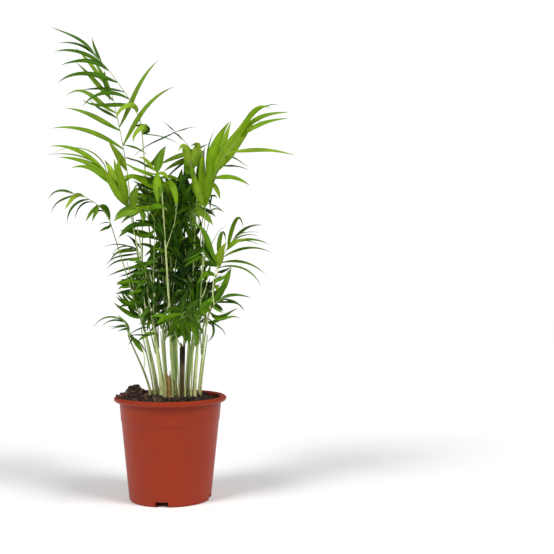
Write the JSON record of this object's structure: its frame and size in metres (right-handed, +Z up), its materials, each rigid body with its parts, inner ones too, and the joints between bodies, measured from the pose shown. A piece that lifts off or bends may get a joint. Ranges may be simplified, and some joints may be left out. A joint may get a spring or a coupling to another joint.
{
  "type": "parlour palm in a nursery pot",
  "caption": "Parlour palm: a clump of slim pale stems with arching feathery fronds, growing in soil in a round tapered terracotta-coloured plastic nursery pot.",
  "frame": {"origin": "on the pot's axis at the level of its underside, which is the centre of the base of the whole plant's box", "axes": "+Z up along the pot's axis, -Y towards the front of the plant, +X to the right seen from the front"},
  "size_m": [0.3926, 0.3205, 0.7177],
  "materials": {
    "pot_plastic": "satin moulded polypropylene in terracotta red",
    "potting_mix": "loose dark brown peat and bark crumbs",
    "stem_pale": "smooth pale yellow-green stem",
    "stem_green": "smooth mid green stem",
    "stem_brown": "dry brown leaf sheath",
    "leaf_bright": "satin bright yellow-green leaflets with fine parallel veins",
    "leaf_green": "satin mid green leaflets with fine parallel veins",
    "leaf_dark": "satin dark green leaflets with fine parallel veins"
  },
  "bodies": {
    "root": {"pot": "pot_plastic", "soil": "potting_mix", "stem_left": "stem_pale", "stem_left_inner": "stem_pale", "stem_centre_left": "stem_pale", "stem_right": "stem_pale", "stem_right_slim": "stem_pale", "stem_back_left": "stem_pale", "stem_back_far": "stem_pale", "stem_left_thin": "stem_green", "stem_front": "stem_green", "stem_back": "stem_green", "stem_right_inner": "stem_green", "stem_back_right": "stem_green", "stem_stub": "stem_brown", "stem_dead": "stem_brown", "frond_left_fan": "leaf_bright", "frond_right_fan": "leaf_bright", "frond_right_mid": "leaf_bright", "frond_front_low": "leaf_bright", "frond_centre_top": "leaf_bright", "frond_crown_left": "leaf_green", "frond_crown_arch": "leaf_green", "frond_left_arch": "leaf_green", "frond_right_low": "leaf_green", "frond_right_small": "leaf_green", "frond_centre_fan": "leaf_green", "frond_left_band": "leaf_green", "frond_middle_1": "leaf_green", "frond_middle_2": "leaf_green", "frond_middle_3": "leaf_green", "frond_middle_4": "leaf_green", "frond_middle_5": "leaf_green", "frond_middle_6": "leaf_green", "frond_middle_7": "leaf_green", "frond_back_1": "leaf_green", "frond_back_2": "leaf_green", "frond_back_3": "leaf_green", "frond_back_4": "leaf_green", "frond_back_5": "leaf_green", "frond_left_low": "leaf_dark", "frond_left_mid": "leaf_dark", "frond_crossing": "leaf_dark", "frond_heart_1": "leaf_dark", "frond_heart_2": "leaf_dark", "frond_heart_3": "leaf_dark", "frond_heart_4": "leaf_dark", "frond_heart_5": "leaf_dark", "frond_heart_6": "leaf_dark", "frond_heart_7": "leaf_dark", "frond_heart_8": "leaf_dark", "frond_heart_9": "leaf_dark"}
  },
  "joints": []
}
